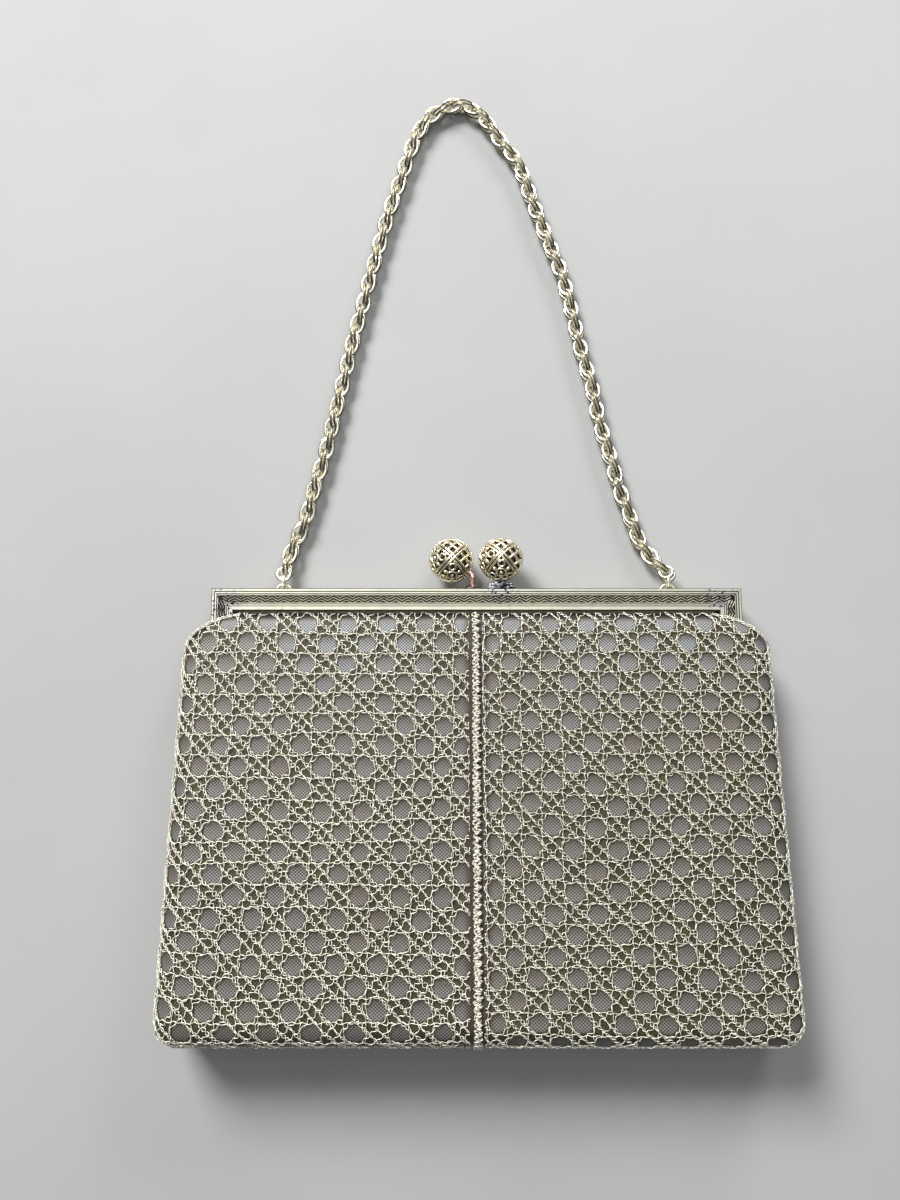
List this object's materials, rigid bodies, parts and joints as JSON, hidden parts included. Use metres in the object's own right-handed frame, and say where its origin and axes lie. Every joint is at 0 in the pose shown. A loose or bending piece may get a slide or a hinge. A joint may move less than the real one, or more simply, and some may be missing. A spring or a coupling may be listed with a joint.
{
  "type": "clutch purse",
  "caption": "Evening clutch with a hinged kiss-lock metal frame, pierced ball clasp, lace-covered wedge bag and rope-chain handle.",
  "frame": {"origin": "centre of the footprint of the clutch without its chain, on the surface that it lies on", "axes": "+X across the clutch, left to right seen from its front; +Y from the bag's bottom edge to the frame and the chain; +Z out of the bag's front, up from the surface"},
  "size_m": [0.1886, 0.311, 0.0258],
  "materials": {
    "frame_gold": "pale champagne-gold plate, engraved bands, worn to silver at the corners",
    "ball_gold": "pierced filigree, pale gold plate, dark in the recesses",
    "chain_gold": "bright pale gold plate",
    "worn_silver": "plate worn through to grey metal with solder marks",
    "pin_steel": "plain rivet",
    "gold_lace": "twisted metallic gold thread worked as an octagonal open lace",
    "ground_cloth": "plain-woven silver-lilac cloth with a soft sheen",
    "board_card": "plain stiffening board",
    "satin_lining": "pale gold satin",
    "packing_paper": "pressed paper strip"
  },
  "bodies": {
    "bag": {"rear_frame": "frame_gold", "hinge_pin_left": "pin_steel", "hinge_pin_right": "pin_steel", "rear_packing_strip": "packing_paper", "rear_clasp_foot": "worn_silver", "rear_clasp_stem": "worn_silver", "rear_clasp_ball": "ball_gold", "rear_lace_left": "gold_lace", "rear_lace_right": "gold_lace", "rear_seam_cord": "gold_lace", "rear_cloth": "ground_cloth", "front_lace_left_lower": "gold_lace", "front_lace_right_lower": "gold_lace", "front_seam_cord_lower": "gold_lace", "front_cloth_lower": "ground_cloth", "gusset_left": "ground_cloth", "gusset_right": "ground_cloth", "bottom_gusset": "ground_cloth", "rear_board": "board_card", "front_board_lower": "board_card", "rear_lining": "satin_lining", "front_lining_lower": "satin_lining", "eyelet_left": "frame_gold", "eyelet_right": "frame_gold"},
    "front_frame": {"front_frame": "frame_gold", "front_packing_strip": "packing_paper", "front_clasp_foot": "worn_silver", "front_clasp_stem": "worn_silver", "front_clasp_ball": "ball_gold", "front_lace_left_upper": "gold_lace", "front_lace_right_upper": "gold_lace", "front_seam_cord_upper": "gold_lace", "front_cloth_upper": "ground_cloth", "front_board_upper": "board_card", "front_lining_upper": "satin_lining"},
    "handle": {"jump_ring_left": "chain_gold", "jump_ring_right": "chain_gold", "chain_handle": "chain_gold"}
  },
  "joints": [
    {"name": "frame_open", "type": "hinge", "parent": "bag", "child": "front_frame", "pos_m": [0, 0.01792, 0.00795], "axis": [1, 0, 0], "range_deg": [0, 65]},
    {"name": "handle_swing", "type": "hinge", "parent": "bag", "child": "handle", "pos_m": [0, 0.06162, 0.0049], "axis": [1, 0, 0], "range_deg": [0, 80]}
  ]
}
